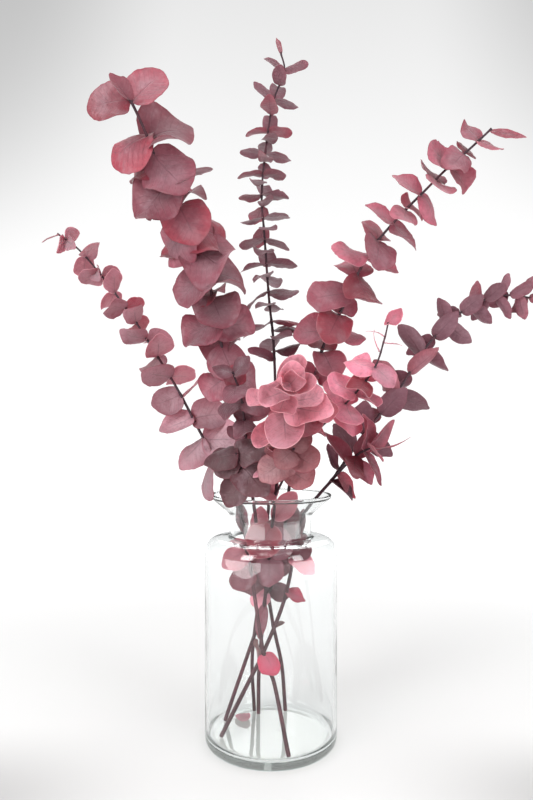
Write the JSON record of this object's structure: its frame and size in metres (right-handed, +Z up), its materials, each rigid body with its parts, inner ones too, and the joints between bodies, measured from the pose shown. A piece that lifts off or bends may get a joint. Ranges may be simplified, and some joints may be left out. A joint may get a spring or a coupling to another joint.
{
  "type": "vase of eucalyptus branches",
  "caption": "Cut stems of dyed, preserved eucalyptus with paired round leaves, standing in a tall clear glass jar with a flared collar.",
  "frame": {"origin": "middle of the jar's flat underside", "axes": "+Z up the jar's axis, towards the tips of the branches; -Y towards the front of the bunch, where the camera of the reference picture stands; +X to that camera's right"},
  "size_m": [0.5729, 0.2656, 0.7687],
  "materials": {
    "glass": "clear blown glass, faintly blue-green at thick edges",
    "leaf_front": "bright rose leaf, matt with a soft sheen, paler margin",
    "leaf_broad": "dusty crimson leaf, matt, waxy bloom",
    "leaf_right": "dusty rose leaf, matt, waxy bloom",
    "leaf_left": "pale dusty pink leaf, matt, waxy bloom",
    "leaf_outer": "dark burgundy leaf, matt",
    "leaf_upright": "mauve-brown leaf, matt, waxy bloom",
    "leaf_fallen": "dusty pink leaf, matt"
  },
  "bodies": {
    "root": {"jar": "glass", "stem_front": "leaf_front", "stem_broad": "leaf_broad", "stem_right": "leaf_right", "stem_left": "leaf_left", "stem_outer": "leaf_outer", "stem_upright": "leaf_upright", "fallen_leaf": "leaf_fallen"}
  },
  "joints": []
}
